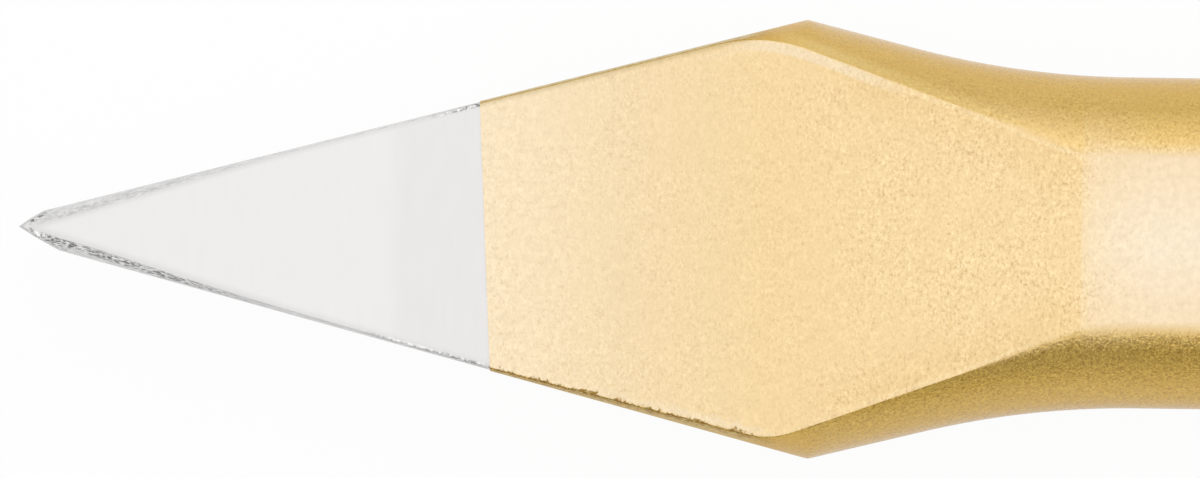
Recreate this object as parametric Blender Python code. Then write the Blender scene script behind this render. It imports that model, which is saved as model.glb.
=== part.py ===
"""Cross cut chisel, lying on the flat of its shank. Metres, +Z up.

The tool is one steel forging with a flat-oval shank and a diamond-shaped blade. It is bare where it was
ground, at the cutting edge and at the struck head, and it carries a lacquer coat between the two. It lies
along X with the cutting edge towards -X, and the origin is on the surface that it lies on, under the middle
of its box.
"""

import math

import bmesh
import bpy
from mathutils import Vector

MM = 0.001

# The bar
TOTAL_LENGTH = 200.0 * MM
SHANK_WIDTH = 20.0 * MM
SHANK_THICKNESS = 12.0 * MM
SHANK_FLAT_WIDTH = 10.8 * MM

# The blade seen on its flat: a wedge to the widest point, then a waist back to the shank
BLADE_FLARE = 3.25 * MM
EDGE_TO_WIDEST = 47.4 * MM
TIP_THICKNESS = 1.57 * MM
WAIST_ANGLE = math.radians(14.0)
WAIST_RADIUS = 53.0 * MM

# The blade seen on its side: relieved behind the edge, then thickening to the shank at a fold line
EDGE_WIDTH = 8.0 * MM
WEB_THICKNESS = 7.7 * MM
EDGE_TO_WEB = 28.0 * MM
WEB_BLEND = 8.5 * MM
EDGE_TO_FOLD = 64.1 * MM

# The flats pressed into the blade, and the rounding of its flanks, which grows towards the edge
FLAT_TAPER_ANGLE = math.radians(20.0)
FLAT_CORNER_BLEND = 1.7 * MM
FLANK_BULGE = 0.3 * MM
TIP_BULGE = 0.65 * MM
MOST_BULGE_SHARE = 0.85

# The ground cutting edge, whose two bevels are a little unlike
UPPER_BEVEL_ANGLE = math.radians(37.0)
LOWER_BEVEL_ANGLE = math.radians(28.5)

# The struck head, drawn in from the shank
HEAD_TAPER_LENGTH = 18.0 * MM
HEAD_NARROWING = 3.0 * MM
HEAD_THINNING = 1.8 * MM
HEAD_CHAMFER = 1.4 * MM

# The lacquer coat, from the slightly skewed grind line to the bare head
EDGE_TO_LACQUER = 28.0 * MM
LACQUER_SKEW = math.radians(2.9)
BARE_HEAD_LENGTH = 9.0 * MM
LACQUER_FILM = 0.25 * MM
COAT_CLEARANCE = 0.3 * MM

# Fineness of the mesh, and how far a helper runs past the cut that trims it
ARC_STEPS = 12
BLADE_STEP = 1.3 * MM
LEAST_STEP = 0.4 * MM
TRIM_OVERRUN = 1.0 * MM
CUT_TOLERANCE = 1e-7
SMOOTH_BELOW = math.radians(25.0)

# Finishes
STEEL_COLOUR = (0.82, 0.81, 0.80, 1.0)
STEEL_ROUGHNESS = 0.3
STEEL_METALLIC = 1.0
LACQUER_COLOUR = (0.87, 0.66, 0.30, 1.0)
LACQUER_ROUGHNESS = 0.4
LACQUER_METALLIC = 0.6


# Outlines of the forging, by distance from the cutting edge


def waist_angle():
    """Slope of the diamond's rear flank, kept within what the waist's arc alone can drop."""
    return min(WAIST_ANGLE, math.acos(max(0.0, 1 - BLADE_FLARE / WAIST_RADIUS)))


def waist_arc():
    """Distances from the edge at which the waist's arc starts and ends."""
    angle = waist_angle()
    straight_drop = BLADE_FLARE - WAIST_RADIUS * (1 - math.cos(angle))
    start = EDGE_TO_WIDEST + straight_drop / math.tan(angle)
    return start, start + WAIST_RADIUS * math.sin(angle)


def head_taper(u):
    """0 on the shank, rising to 1 at the struck face."""
    return max(0.0, 1 - (TOTAL_LENGTH - u) / HEAD_TAPER_LENGTH)


def half_width(u):
    """Half of the tool's width in plan."""
    arc_start, arc_end = waist_arc()
    widest = SHANK_WIDTH / 2 + BLADE_FLARE
    if u <= EDGE_TO_WIDEST:
        return TIP_THICKNESS / 2 + (widest - TIP_THICKNESS / 2) * u / EDGE_TO_WIDEST
    if u <= arc_start:
        return widest - (u - EDGE_TO_WIDEST) * math.tan(waist_angle())
    if u <= arc_end:
        return SHANK_WIDTH / 2 + WAIST_RADIUS - math.sqrt(WAIST_RADIUS**2 - (arc_end - u) ** 2)
    return (SHANK_WIDTH - HEAD_NARROWING * head_taper(u)) / 2


def half_thickness(u):
    """Half of the tool's thickness."""
    web = WEB_THICKNESS / 2
    ramp = (SHANK_THICKNESS / 2 - web) / (EDGE_TO_FOLD - EDGE_TO_WEB - WEB_BLEND / 2)
    past_web = u - EDGE_TO_WEB
    if past_web <= 0:
        return web - (EDGE_WIDTH / 2 - web) * past_web / EDGE_TO_WEB
    if past_web <= WEB_BLEND:
        return web + ramp * past_web**2 / (2 * WEB_BLEND)
    if u <= EDGE_TO_FOLD:
        return SHANK_THICKNESS / 2 - ramp * (EDGE_TO_FOLD - u)
    return (SHANK_THICKNESS - HEAD_THINNING * head_taper(u)) / 2


def half_flat(u):
    """Half of the width of the flats."""
    on_shank = SHANK_FLAT_WIDTH / 2
    if u >= EDGE_TO_FOLD:
        return on_shank * half_width(u) / (SHANK_WIDTH / 2)
    width = half_width(u)
    bulge = FLANK_BULGE + (TIP_BULGE - FLANK_BULGE) * max(0.0, 1 - u / EDGE_TO_WEB)
    along_flank = width - min(bulge, width * MOST_BULGE_SHARE)
    along_taper = on_shank + (EDGE_TO_FOLD - u) * math.tan(FLAT_TAPER_ANGLE)
    # A smooth minimum of the two lines rounds the corner between them, a quarter of the blend deep
    nearness = max(0.0, 1 - abs(along_flank - along_taper) / FLAT_CORNER_BLEND)
    return min(along_flank, along_taper) - FLAT_CORNER_BLEND * nearness**2 / 4


def ring(u, inset=0.0, setback=0.0):
    """Points round the section at u, two arcs joined by two flats, moved in by inset and on by setback."""
    bulge = min(half_width(u) - half_flat(u), half_thickness(u))
    radius = (bulge**2 + half_thickness(u) ** 2) / (2 * bulge)
    arc_centre = half_width(u) - radius
    reach = math.asin((half_thickness(u) - inset) / (radius - inset))
    points = []
    for side in (1, -1):
        for step in range(ARC_STEPS + 1):
            turn = reach * (2 * step / ARC_STEPS - 1)
            y = arc_centre + (radius - inset) * math.cos(turn)
            z = (radius - inset) * math.sin(turn)
            points.append(Vector((u + setback, side * y, side * z)))
    return points


def stations():
    """Distances from the edge at which a section is drawn, closer together where the blade curves."""
    waist_end = waist_arc()[1]
    steps = math.ceil((waist_end - EDGE_TO_WEB) / BLADE_STEP)
    curved = [EDGE_TO_WEB + (waist_end - EDGE_TO_WEB) * step / steps for step in range(steps + 1)]
    creases = [EDGE_TO_WIDEST, EDGE_TO_FOLD]
    between = [u for u in curved if min(abs(u - crease) for crease in creases) > LEAST_STEP]
    tip_ends = [-TRIM_OVERRUN, 0.0]
    head_ends = [TOTAL_LENGTH - HEAD_TAPER_LENGTH, TOTAL_LENGTH - HEAD_CHAMFER]
    return sorted(tip_ends + between + creases + head_ends)


# Shaping


def loft(inset=0.0):
    """The forging's whole shape as a closed mesh, moved in by inset, before its edge is ground."""
    bm = bmesh.new()
    outlines = [ring(u, inset) for u in stations()]
    outlines.append(ring(TOTAL_LENGTH - HEAD_CHAMFER, inset + HEAD_CHAMFER, HEAD_CHAMFER))
    rings = [[bm.verts.new(point) for point in outline] for outline in outlines]
    for near, far in zip(rings, rings[1:]):
        for i, corner in enumerate(near):
            after = (i + 1) % len(near)
            bm.faces.new((corner, near[after], far[after], far[i]))
    bm.faces.new(rings[0])
    bm.faces.new(rings[-1])
    bmesh.ops.recalc_face_normals(bm, faces=bm.faces)
    return bm


def trim(bm, point, outward):
    """Cuts off what lies past a plane, as on a grinding wheel, and closes the cut with a flat face."""
    cut = bmesh.ops.bisect_plane(
        bm,
        geom=bm.verts[:] + bm.edges[:] + bm.faces[:],
        dist=CUT_TOLERANCE,
        plane_co=point,
        plane_no=outward,
        clear_outer=True,
    )
    edges = [item for item in cut["geom_cut"] if isinstance(item, bmesh.types.BMEdge)]
    bmesh.ops.contextual_create(bm, geom=edges)
    bmesh.ops.recalc_face_normals(bm, faces=bm.faces)


def grind_edge(bm):
    """Grinds the two bevels that meet in the cutting edge, which runs along Z."""
    apex = Vector((0.0, 0.0, 0.0))
    trim(bm, apex, Vector((-math.sin(UPPER_BEVEL_ANGLE), math.cos(UPPER_BEVEL_ANGLE), 0.0)))
    trim(bm, apex, Vector((-math.sin(LOWER_BEVEL_ANGLE), -math.cos(LOWER_BEVEL_ANGLE), 0.0)))


def at_lacquer_line(forward):
    """A point on the plane of the lacquer's front edge, moved towards the head, and the normal that way."""
    point = Vector((EDGE_TO_LACQUER + forward, 0.0, 0.0))
    return point, Vector((math.cos(LACQUER_SKEW), math.sin(LACQUER_SKEW), 0.0))


def at_bare_head(forward):
    """A point on the plane where the lacquer ends, moved towards the head, and the normal that way."""
    return Vector((TOTAL_LENGTH - BARE_HEAD_LENGTH + forward, 0.0, 0.0)), Vector((1.0, 0.0, 0.0))


def stem(inset):
    """The stretch of the forging under the coat, moved in by inset and a little longer than the coat."""
    bm = loft(inset)
    front, towards_head = at_lacquer_line(-TRIM_OVERRUN)
    trim(bm, front, -towards_head)
    trim(bm, *at_bare_head(TRIM_OVERRUN))
    return bm


# Objects


def material(name, colour, roughness, metallic):
    made = bpy.data.materials.new(name)
    made.use_nodes = True
    shader = made.node_tree.nodes["Principled BSDF"]
    shader.inputs["Base Color"].default_value = colour
    shader.inputs["Roughness"].default_value = roughness
    shader.inputs["Metallic"].default_value = metallic
    made.diffuse_color = colour
    return made


def collection(name):
    made = bpy.data.collections.new(name)
    bpy.context.scene.collection.children.link(made)
    return made


def place(name, bm, group, axis):
    """Makes an object from a mesh that is drawn from the cutting edge, and puts it on the tool's axis."""
    mesh = bpy.data.meshes.new(name)
    bm.to_mesh(mesh)
    bm.free()
    mesh.shade_smooth()
    mesh.set_sharp_from_angle(angle=SMOOTH_BELOW)
    obj = bpy.data.objects.new(name, mesh)
    group.objects.link(obj)
    obj.parent = axis
    return obj


def helper(name, bm, group, axis):
    """A shape that only joins or cuts a piece."""
    obj = place(name, bm, group, axis)
    obj.hide_render = True
    obj.display_type = "WIRE"
    return obj


def combine(piece, other, operation):
    modifier = piece.modifiers.new(f"{operation.lower()} {other.name}", "BOOLEAN")
    modifier.operation = operation
    modifier.object = other


def forged_body(parts, helpers, axis):
    """The steel forging: ground tip and struck head at full size, and a stem set in for the coat."""
    tip = loft()
    grind_edge(tip)
    trim(tip, *at_lacquer_line(0.0))

    head = loft()
    rear, towards_face = at_bare_head(0.0)
    trim(head, rear, -towards_face)

    body = place("forged_body", stem(LACQUER_FILM + COAT_CLEARANCE), parts, axis)
    combine(body, helper("ground_tip", tip, helpers, axis), "UNION")
    combine(body, helper("struck_head", head, helpers, axis), "UNION")
    finish = material("bare_steel", STEEL_COLOUR, STEEL_ROUGHNESS, STEEL_METALLIC)
    body.data.materials.append(finish)


def lacquer_coat(parts, helpers, axis):
    """The lacquer film: an open sleeve over the stem, flush with the ground tip and the bare head."""
    sleeve = loft()
    front, towards_head = at_lacquer_line(COAT_CLEARANCE)
    trim(sleeve, front, -towards_head)
    trim(sleeve, *at_bare_head(-COAT_CLEARANCE))

    coat = place("lacquer_coat", sleeve, parts, axis)
    combine(coat, helper("coat_bore", stem(LACQUER_FILM), helpers, axis), "DIFFERENCE")
    finish = material("gold_lacquer", LACQUER_COLOUR, LACQUER_ROUGHNESS, LACQUER_METALLIC)
    coat.data.materials.append(finish)


def main():
    for obj in list(bpy.data.objects):
        bpy.data.objects.remove(obj)
    parts = collection("cross_cut_chisel")
    helpers = collection("cutters")
    axis = bpy.data.objects.new("tool_axis", None)
    axis.location = (-TOTAL_LENGTH / 2, 0.0, SHANK_THICKNESS / 2)
    parts.objects.link(axis)
    forged_body(parts, helpers, axis)
    lacquer_coat(parts, helpers, axis)


main()
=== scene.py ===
# %% [markdown]
# # A cross cut chisel, dressed for a close-up
# A cross cut chisel cuts narrow grooves and keyways in metal. It is one steel forging: a flat-oval shank to
# hold, a blade that flares out and then tapers like a wedge, and a short cutting edge across the tip. The
# maker lacquers the forging in gold and then grinds the tip and the struck head bare.
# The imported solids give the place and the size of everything. This script lays two finer meshes over them,
# the steel and the lacquer film, and gives each a finish that comes from nodes alone.

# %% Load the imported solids
import math

import bmesh
import bpy
from mathutils import Matrix, Vector


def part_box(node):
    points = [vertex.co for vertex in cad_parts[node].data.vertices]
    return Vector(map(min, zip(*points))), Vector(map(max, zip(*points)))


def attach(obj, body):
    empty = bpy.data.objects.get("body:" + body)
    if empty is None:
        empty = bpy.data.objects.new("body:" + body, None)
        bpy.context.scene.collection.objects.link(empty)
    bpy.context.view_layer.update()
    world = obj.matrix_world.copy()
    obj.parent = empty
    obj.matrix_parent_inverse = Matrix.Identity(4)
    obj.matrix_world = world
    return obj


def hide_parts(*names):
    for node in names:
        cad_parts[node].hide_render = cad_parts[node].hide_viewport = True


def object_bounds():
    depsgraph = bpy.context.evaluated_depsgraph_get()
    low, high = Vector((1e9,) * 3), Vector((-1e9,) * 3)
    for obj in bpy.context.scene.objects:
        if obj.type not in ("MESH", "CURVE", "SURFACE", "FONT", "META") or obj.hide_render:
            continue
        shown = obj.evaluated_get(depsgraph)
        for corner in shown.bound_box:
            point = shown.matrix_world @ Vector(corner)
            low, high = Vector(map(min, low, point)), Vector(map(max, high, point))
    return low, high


MM = 0.001

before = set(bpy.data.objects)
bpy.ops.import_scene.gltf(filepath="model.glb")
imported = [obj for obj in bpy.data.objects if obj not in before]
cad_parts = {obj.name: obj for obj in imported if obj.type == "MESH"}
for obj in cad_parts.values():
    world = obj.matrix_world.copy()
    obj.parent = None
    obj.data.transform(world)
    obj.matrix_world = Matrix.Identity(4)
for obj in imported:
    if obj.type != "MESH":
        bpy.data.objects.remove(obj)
cad_low, cad_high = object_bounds()
coat_low, coat_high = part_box("lacquer_coat")
print("nodes:", sorted(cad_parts))
print("solids' box, mm:", [round(size / MM, 2) for size in cad_high - cad_low])
print("lacquer along the tool, mm:", [round((x - cad_low.x) / MM, 1) for x in (coat_low.x, coat_high.x)])

# %% [markdown]
# ## The forging's sizes
# The overall length, the widest point and the thickness are read from the solids' box. What lies between is
# repeated here in millimetres, because a script that dresses a part can't read the script that made it.
# All of it is counted along the tool from the cutting edge, a distance that is called u. The press that made
# the flats sat a little off the middle, so the far side (+Y in the picture) and the near side differ by some
# tenths of a millimetre.

# %% Sizes of the forging
LENGTH = cad_high.x - cad_low.x
HALF_WIDEST = (cad_high.y - cad_low.y) / 2
HALF_SHANK_THICKNESS = (cad_high.z - cad_low.z) / 2
TIP = Vector((cad_low.x, 0.0, cad_low.z + HALF_SHANK_THICKNESS))

FAR, NEAR = 1, -1
HALF_SHANK_WIDTH = 10.0 * MM
HALF_SHANK_FLATS = {FAR: 5.33 * MM, NEAR: 5.47 * MM}
HALF_TIP_THICKNESS = 0.785 * MM
EDGE_TO_WIDEST = 47.4 * MM
WAIST_ANGLE = math.radians(14.0)
WAIST_RADIUS = 53.0 * MM
WIDEST_BLEND = 0.05 * MM

HALF_EDGE_WIDTH = 4.0 * MM
HALF_WEB_THICKNESS = 3.85 * MM
EDGE_TO_WEB = 28.0 * MM
WEB_BLEND = 8.5 * MM
EDGE_TO_FOLD = 63.75 * MM
FOLD_BLEND = 0.07 * MM

FLAT_TAPER = math.tan(math.radians(20.0))
FLAT_CORNER_BLENDS = {FAR: 1.7 * MM, NEAR: 0.8 * MM}
REAR_SHIFTS = {FAR: -0.2 * MM, NEAR: 0.5 * MM}
WEB_BULGE = 0.15 * MM
WIDEST_BULGES = {FAR: 0.20 * MM, NEAR: 0.52 * MM}
TIP_SWELL = 0.60 * MM
EDGE_TO_SWELL = 3.5 * MM

HEAD_TAPER_LENGTH = 18.0 * MM
HEAD_NARROWING = 1.5 * MM
HEAD_THINNING = 0.9 * MM
HEAD_CHAMFER = 1.4 * MM

flare = HALF_WIDEST - HALF_SHANK_WIDTH
straight_drop = flare - WAIST_RADIUS * (1 - math.cos(WAIST_ANGLE))
WAIST_START = EDGE_TO_WIDEST + straight_drop / math.tan(WAIST_ANGLE)
WAIST_END = WAIST_START + WAIST_RADIUS * math.sin(WAIST_ANGLE)
print("the waist bends from", round(WAIST_START / MM, 1), "to", round(WAIST_END / MM, 1), "mm from the edge")

# %% [markdown]
# ## Width, thickness and flats along the tool
# Three short functions say how wide and how thick the forging is at any u, and how far its two flats reach to
# either side. A smooth minimum joins two lines with a rounded corner, as a hammered or pressed corner has.
# The flank bulges out from the flat's border: little along the blade, and more close behind the cutting edge.


# %% Width, thickness and flats
def smooth_minimum(a, b, blend):
    nearness = max(0.0, 1 - abs(a - b) / blend)
    return min(a, b) - blend * nearness**2 / 4


def head_taper(u):
    """0 on the shank, rising to 1 at the struck face."""
    return max(0.0, 1 - (LENGTH - u) / HEAD_TAPER_LENGTH)


def half_width(u, side):
    wedge = HALF_TIP_THICKNESS + (HALF_WIDEST - HALF_TIP_THICKNESS) * u / EDGE_TO_WIDEST
    shifted = u - REAR_SHIFTS[side]
    if shifted < WAIST_START:
        rear = HALF_WIDEST - (shifted - EDGE_TO_WIDEST) * math.tan(WAIST_ANGLE)
    elif shifted < WAIST_END:
        rear = HALF_SHANK_WIDTH + WAIST_RADIUS - math.sqrt(WAIST_RADIUS**2 - (WAIST_END - shifted) ** 2)
    else:
        rear = HALF_SHANK_WIDTH - HEAD_NARROWING * head_taper(u)
    return smooth_minimum(wedge, rear, WIDEST_BLEND)


def half_thickness(u):
    ramp = (HALF_SHANK_THICKNESS - HALF_WEB_THICKNESS) / (EDGE_TO_FOLD - EDGE_TO_WEB - WEB_BLEND / 2)
    past_web = u - EDGE_TO_WEB
    if past_web <= 0:
        return HALF_WEB_THICKNESS - (HALF_EDGE_WIDTH - HALF_WEB_THICKNESS) * past_web / EDGE_TO_WEB
    if past_web <= WEB_BLEND:
        return HALF_WEB_THICKNESS + ramp * past_web**2 / (2 * WEB_BLEND)
    on_ramp = HALF_SHANK_THICKNESS - ramp * (EDGE_TO_FOLD - u)
    on_shank = HALF_SHANK_THICKNESS - HEAD_THINNING * head_taper(u)
    return smooth_minimum(on_ramp, on_shank, FOLD_BLEND)


def flank_bulge(u, side):
    to_widest = max(0.0, (u - EDGE_TO_WEB) / (EDGE_TO_WIDEST - EDGE_TO_WEB))
    to_swell = max(0.0, u / EDGE_TO_SWELL)
    on_blade = WEB_BULGE + (WIDEST_BULGES[side] - WEB_BULGE) * to_widest
    return on_blade + TIP_SWELL * to_swell * math.exp(1 - to_swell)


def half_flat(u, side):
    on_shank = HALF_SHANK_FLATS[side]
    if u >= EDGE_TO_FOLD:
        return on_shank * half_width(u, side) / HALF_SHANK_WIDTH
    along_flank = half_width(u, side) - flank_bulge(u, side)
    along_taper = on_shank + (EDGE_TO_FOLD - u) * FLAT_TAPER
    return smooth_minimum(along_flank, along_taper, FLAT_CORNER_BLENDS[side])


for u in (0.0, EDGE_TO_WEB, EDGE_TO_WIDEST, EDGE_TO_FOLD, LENGTH):
    width, flats = [sum(half(u, side) for side in (FAR, NEAR)) for half in (half_width, half_flat)]
    sizes = [width, 2 * half_thickness(u), flats]
    print("at", round(u / MM, 1), "mm: width, thickness, flat =", [round(size / MM, 2) for size in sizes])

# %% [markdown]
# ## One section of the forging
# Cut across, the forging is two flats and two bulging flanks, and a round where they meet. The round is crisp
# along the blade, and on the shank it flows into the flank. A quarter of the section on each side is enough:
# the lower half is a mirror image of the upper. The flank is an arc through the widest point, and the round
# touches both it and the flat, which fixes its centre.

# %% A quarter of a section
FLAT_STEPS = 12
ROUND_STEPS = 6
FLANK_STEPS = 10
QUARTER_STEPS = FLAT_STEPS + ROUND_STEPS + FLANK_STEPS
SECTION_STEPS = 4 * QUARTER_STEPS
BLADE_ROUND = 0.12 * MM
REAR_ROUND = 0.10 * MM
SHANK_ROUND = 4.00 * MM
REAR_FROM, REAR_FULL = 43.0 * MM, 50.0 * MM
SHANK_FROM, SHANK_FULL = 56.0 * MM, 67.0 * MM


def ease(low, high, value):
    """0 below low, 1 above high, and a smooth rise between them."""
    share = min(1.0, max(0.0, (value - low) / (high - low)))
    return share * share * (3 - 2 * share)


def edge_round(u):
    on_rear = ease(REAR_FROM, REAR_FULL, u)
    on_shank = ease(SHANK_FROM, SHANK_FULL, u)
    return BLADE_ROUND + (REAR_ROUND - BLADE_ROUND) * on_rear + (SHANK_ROUND - REAR_ROUND) * on_shank


def quarter_point(u, side, step, inset):
    """Across and up from the tool's axis to a point of the section, from the flat's middle to the flank's."""
    top = half_thickness(u)
    bulge = min(half_width(u, side) - half_flat(u, side), top)
    flank_radius = (bulge**2 + top**2) / (2 * bulge)
    flank_centre = half_width(u, side) - flank_radius
    edge = edge_round(u)
    flat_end = flank_centre + math.sqrt((flank_radius - edge) ** 2 - (top - edge) ** 2)
    flank_reach = math.atan2(top - edge, flat_end - flank_centre)
    if step <= FLAT_STEPS:
        closer_to_border = math.sin(math.pi / 2 * step / FLAT_STEPS)
        return flat_end * closer_to_border, top - inset
    if step <= FLAT_STEPS + ROUND_STEPS:
        share = (step - FLAT_STEPS) / ROUND_STEPS
        turn = math.pi / 2 + (flank_reach - math.pi / 2) * share
        reach = edge - inset
        return flat_end + reach * math.cos(turn), top - edge + reach * math.sin(turn)
    turn = flank_reach * (QUARTER_STEPS - step) / FLANK_STEPS
    reach = flank_radius - inset
    return flank_centre + reach * math.cos(turn), reach * math.sin(turn)


def section_point(u, column, inset):
    """A point of the whole section, counted round from the middle of the upper flat."""
    quarter, step = divmod(column, QUARTER_STEPS)
    if quarter % 2:
        step = QUARTER_STEPS - step
    side = FAR if quarter < 2 else NEAR
    face = 1 if quarter in (0, 3) else -1
    across, up = quarter_point(u, side, step, inset)
    return Vector((u, side * across, face * up))


print("a section has", SECTION_STEPS, "points")

# %% [markdown]
# ## Rolling a sheet into the forging
# A loft between sections that change all the way could be bridged ring by ring. It is easier to start from
# one flat grid, with as many columns as a section has points, and roll it up: every grid point moves to its
# place on its section, and the two long borders meet and are welded. The rows lie closer on the blade, where
# the shape turns, than on the straight shank.

# %% Roll the sheet
BLADE_ROW = 0.4 * MM
SHANK_ROW = 1.5 * MM
ROWS_OVERRUN = 0.35 * MM
HALF_SHEET = 0.5
WELD = 1e-6


def widest_at(side):
    """Where the wedge's line meets the rear line, which is shifted a little along the tool on each side."""
    wedge_slope = (HALF_WIDEST - HALF_TIP_THICKNESS) / EDGE_TO_WIDEST
    rear_slope = math.tan(WAIST_ANGLE)
    return EDGE_TO_WIDEST + REAR_SHIFTS[side] * rear_slope / (wedge_slope + rear_slope)


def forging_rows():
    """Distances from the edge of the sheet's rows, from just ahead of the edge to the head's chamfer."""
    stations = [-ROWS_OVERRUN, widest_at(FAR), widest_at(NEAR), EDGE_TO_FOLD, WAIST_END]
    stations += [LENGTH - HEAD_TAPER_LENGTH, LENGTH - HEAD_CHAMFER]
    rows = []
    for start, end in zip(stations, stations[1:]):
        longest = BLADE_ROW if end <= WAIST_END else SHANK_ROW
        count = math.ceil((end - start) / longest)
        rows += [start + (end - start) * i / count for i in range(count)]
    return rows + stations[-1:]


def rolled_forging(inset):
    """The forging's skin as an open tube, moved in by inset, with its rows along X."""
    rows = forging_rows()
    last_row = len(rows) - 1
    bm = bmesh.new()
    bmesh.ops.create_grid(bm, x_segments=last_row, y_segments=SECTION_STEPS, size=HALF_SHEET)
    for vert in bm.verts:
        row = round((vert.co.x + HALF_SHEET) * last_row)
        column = round((vert.co.y + HALF_SHEET) * SECTION_STEPS)
        vert.co = section_point(rows[row], column % SECTION_STEPS, inset)
    bmesh.ops.remove_doubles(bm, verts=bm.verts, dist=WELD)
    bmesh.ops.recalc_face_normals(bm, faces=bm.faces)
    return bm


def cut(bm, point, normal, close):
    """Removes what lies on the normal's side of a plane, and closes the cut with a face if asked."""
    geometry = bm.verts[:] + bm.edges[:] + bm.faces[:]
    made = bmesh.ops.bisect_plane(
        bm, geom=geometry, dist=WELD, plane_co=point, plane_no=normal, clear_outer=True
    )
    if close:
        border = [item for item in made["geom_cut"] if isinstance(item, bmesh.types.BMEdge)]
        bmesh.ops.contextual_create(bm, geom=border)


print("the sheet has", len(forging_rows()), "rows")

# %% [markdown]
# ## The steel
# The steel lies a film's thickness under the lacquer, and shows at the ground tip and at the head. A grinder
# shapes the tip by holding flat faces to the wheel, and a plane cut does the same: two bevels that meet in
# the cutting edge, then a narrow break along each of their four corners. The head's chamfer is one more ring,
# extruded back and drawn in.

# %% Grind the tip and close the head
FILM = 0.06 * MM
CUTTING_EDGE = Vector((0.0, 0.07 * MM, 0.0))
BEVEL_ANGLES = {FAR: math.radians(36.7), NEAR: math.radians(31.2)}
CORNER_BREAK = 0.16 * MM
SMOOTH_BELOW = math.radians(17.0)

bevel_normals = []
for side, angle in BEVEL_ANGLES.items():
    bevel_normals.append(Vector((-math.sin(angle), side * math.cos(angle), 0.0)))


def grind_tip(bm):
    for bevel in bevel_normals:
        cut(bm, CUTTING_EDGE, bevel, close=True)
        for face in (1, -1):
            up = Vector((0.0, 0.0, face))
            corner = CUTTING_EDGE + up * (HALF_EDGE_WIDTH - FILM)
            cut(bm, corner - up * CORNER_BREAK, (bevel + up).normalized(), close=True)


def close_head(bm):
    rim = [edge for edge in bm.edges if edge.is_boundary]
    made = bmesh.ops.extrude_edge_only(bm, edges=rim)["geom"]
    ring = [item for item in made if isinstance(item, bmesh.types.BMVert)]
    for vert in ring:
        inward = Vector((0.0, vert.co.y, vert.co.z))
        vert.co -= inward.normalized() * HEAD_CHAMFER
        vert.co.x = LENGTH
    bmesh.ops.contextual_create(bm, geom=[edge for edge in bm.edges if edge.is_boundary])


def finished_piece(name, bm):
    """An object at the origin whose mesh lies where the solids do."""
    bmesh.ops.translate(bm, verts=bm.verts, vec=TIP)
    open_edges = sum(not edge.is_manifold for edge in bm.edges)
    mesh = bpy.data.meshes.new(name)
    bm.to_mesh(mesh)
    bm.free()
    mesh.shade_smooth()
    mesh.set_sharp_from_angle(angle=SMOOTH_BELOW)
    piece = bpy.data.objects.new(name, mesh)
    bpy.context.scene.collection.objects.link(piece)
    print(name, "has", len(mesh.polygons), "faces and", open_edges, "open edges")
    return piece


body_mesh = rolled_forging(FILM)
grind_tip(body_mesh)
close_head(body_mesh)
bmesh.ops.recalc_face_normals(body_mesh, faces=body_mesh.faces)
steel_body = finished_piece("steel_body", body_mesh)

# %% [markdown]
# ## The lacquer film
# The film is the same skin at full size, cut off along the grind line, which runs a little askew across the
# blade, and again ahead of the head. Solidify gives it its thickness, inwards, so it ends a hair above the
# steel.

# %% Cut the film to length
EDGE_TO_LACQUER = 28.0 * MM
LACQUER_SKEW = math.radians(2.9)
FILM_GAP = 0.01 * MM
HEAD_LINE = coat_high.x - TIP.x

film_mesh = rolled_forging(0.0)
towards_edge = Vector((-math.cos(LACQUER_SKEW), -math.sin(LACQUER_SKEW), 0.0))
cut(film_mesh, Vector((EDGE_TO_LACQUER, 0.0, 0.0)), towards_edge, close=False)
cut(film_mesh, Vector((HEAD_LINE, 0.0, 0.0)), Vector((1.0, 0.0, 0.0)), close=False)
bmesh.ops.solidify(film_mesh, geom=film_mesh.faces[:], thickness=FILM - FILM_GAP)
highest = max(vert.co.z for vert in film_mesh.verts)
lacquer_film = finished_piece("lacquer_film", film_mesh)
print("film's top:", round(highest / MM, 3), "mm over the axis")

# %% [markdown]
# ## Helpers for finishes
# Every finish below is a Principled BSDF fed by a few textures on Object coordinates, which are metres here.
# A texture scale of 5000 thus gives grain of about a fifth of a millimetre. A texture is written as its
# scale, detail and roughness, most of its values lie in the noise range, and a share goes from 0 to 1. A long
# chain of nodes is hard to follow, so every small sum has a helper with a plain name. The Mix node keeps a
# set of sockets for each kind of data, and its colours are found by number.

# %% Node helpers
NOISE_RANGE = 0.30, 0.70
COLOUR_SOCKETS, COLOUR_RESULT = (6, 7), 2


def fill(tree, node, sockets):
    """Fills a node's sockets with values, or with links from other nodes."""
    for name, value in sockets.items():
        if isinstance(value, bpy.types.NodeSocket):
            tree.links.new(value, node.inputs[name])
        else:
            node.inputs[name].default_value = value


def add(tree, kind, sockets, **options):
    """Adds a node, sets its options and fills its sockets."""
    made = tree.nodes.new(kind)
    for name, value in options.items():
        setattr(made, name, value)
    fill(tree, made, sockets)
    return made


def new_finish(name):
    """A material, its node tree, its shader, and the coordinates that its textures use."""
    material = bpy.data.materials.new(name)
    material.use_nodes = True
    tree = material.node_tree
    coordinates = add(tree, "ShaderNodeTexCoord", {}).outputs
    return material, tree, tree.nodes["Principled BSDF"], coordinates


def stretched(tree, place, factors):
    return add(tree, "ShaderNodeMapping", {"Vector": place, "Scale": factors}).outputs["Vector"]


def grain(tree, place, scale, detail, roughness):
    sockets = {"Vector": place, "Scale": scale, "Detail": detail, "Roughness": roughness}
    return add(tree, "ShaderNodeTexNoise", sockets).outputs["Fac"]


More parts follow.
